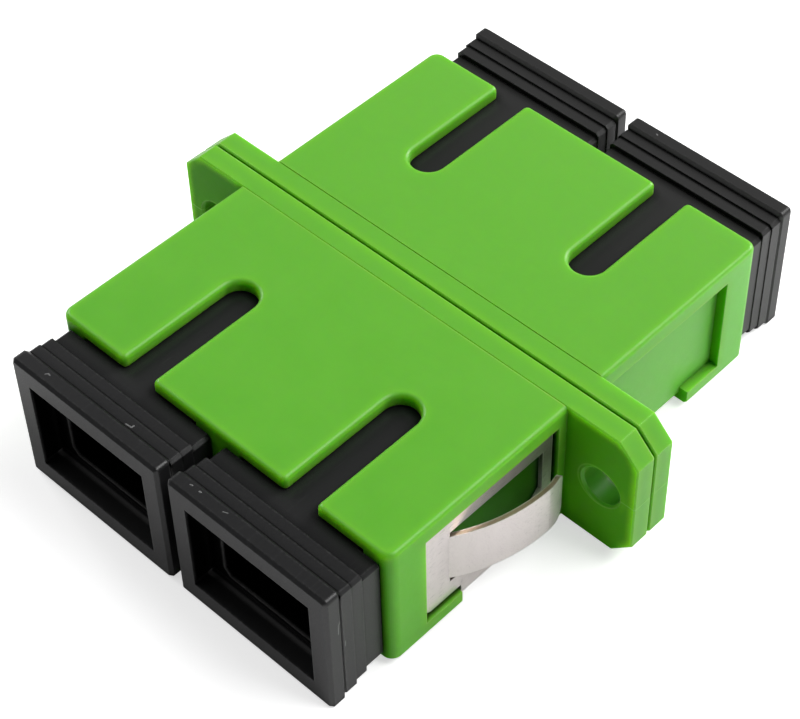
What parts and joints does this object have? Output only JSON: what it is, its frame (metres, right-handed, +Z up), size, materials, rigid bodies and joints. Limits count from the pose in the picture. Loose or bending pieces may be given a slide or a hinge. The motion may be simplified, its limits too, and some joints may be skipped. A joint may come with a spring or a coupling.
{
  "type": "fibre optic adapter",
  "caption": "Duplex adapter that couples push-pull fibre plugs end to end, with a screw flange, a sprung panel clip and dust caps in its ports",
  "frame": {"origin": "centre of the footprint, on the plane the dust cap rims stand on", "axes": "X across the two ports, Y along the ports with the clip half at -Y, Z up with the key slots on top"},
  "size_m": [0.0358, 0.0392, 0.0098],
  "materials": {
    "green_plastic": "satin",
    "core_plastic": "satin",
    "sleeve_ceramic": "polished",
    "spring_steel": "brushed",
    "black_plastic": "satin"
  },
  "bodies": {
    "housing": {"front_housing": "green_plastic", "rear_housing": "green_plastic", "mounting_clip": "spring_steel", "latch_core_front_left": "core_plastic", "latch_core_front_right": "core_plastic", "latch_core_rear_left": "core_plastic", "latch_core_rear_right": "core_plastic", "split_sleeve_left": "sleeve_ceramic", "split_sleeve_right": "sleeve_ceramic"},
    "cap_front_left": {"dust_cap_front_left": "black_plastic"},
    "cap_front_right": {"dust_cap_front_right": "black_plastic"},
    "cap_rear_left": {"dust_cap_rear_left": "black_plastic"},
    "cap_rear_right": {"dust_cap_rear_right": "black_plastic"}
  },
  "joints": [
    {"name": "front_left_cap_pull", "type": "slide", "parent": "housing", "child": "cap_front_left", "axis": [0, -1, 0], "range_m": [0, 0.02]},
    {"name": "front_right_cap_pull", "type": "slide", "parent": "housing", "child": "cap_front_right", "axis": [0, -1, 0], "range_m": [0, 0.02]},
    {"name": "rear_left_cap_pull", "type": "slide", "parent": "housing", "child": "cap_rear_left", "axis": [0, 1, 0], "range_m": [0, 0.02]},
    {"name": "rear_right_cap_pull", "type": "slide", "parent": "housing", "child": "cap_rear_right", "axis": [0, 1, 0], "range_m": [0, 0.02]}
  ]
}
